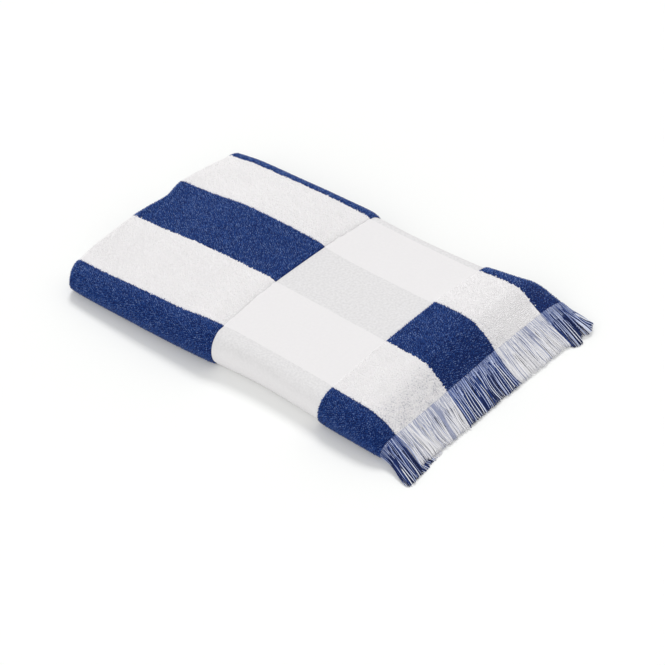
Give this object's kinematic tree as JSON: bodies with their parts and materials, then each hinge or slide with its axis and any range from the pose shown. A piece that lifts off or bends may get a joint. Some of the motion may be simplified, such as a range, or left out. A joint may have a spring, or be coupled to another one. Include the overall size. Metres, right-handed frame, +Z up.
{
  "type": "folded beach towel",
  "caption": "Striped terry beach towel, folded flat into a long pad, its outer ply reaching past the others to a hanging fringe.",
  "frame": {"origin": "on the floor under the middle of the folded towel's outline, fringe included", "axes": "+X along the folded towel towards its fringed end, +Y across it to the far fold, +Z up"},
  "size_m": [0.5554, 0.3588, 0.0583],
  "materials": {
    "terry_cloth": "cotton terry in navy and white stripes, with a flat-woven white band and a flat-woven heading at the fringed end",
    "fringe_yarn": "loose cotton warp yarns, navy and white by turns on the navy stripes and white on the white ones"
  },
  "bodies": {
    "root": {"cloth": "terry_cloth", "fringe": "fringe_yarn"}
  },
  "joints": []
}
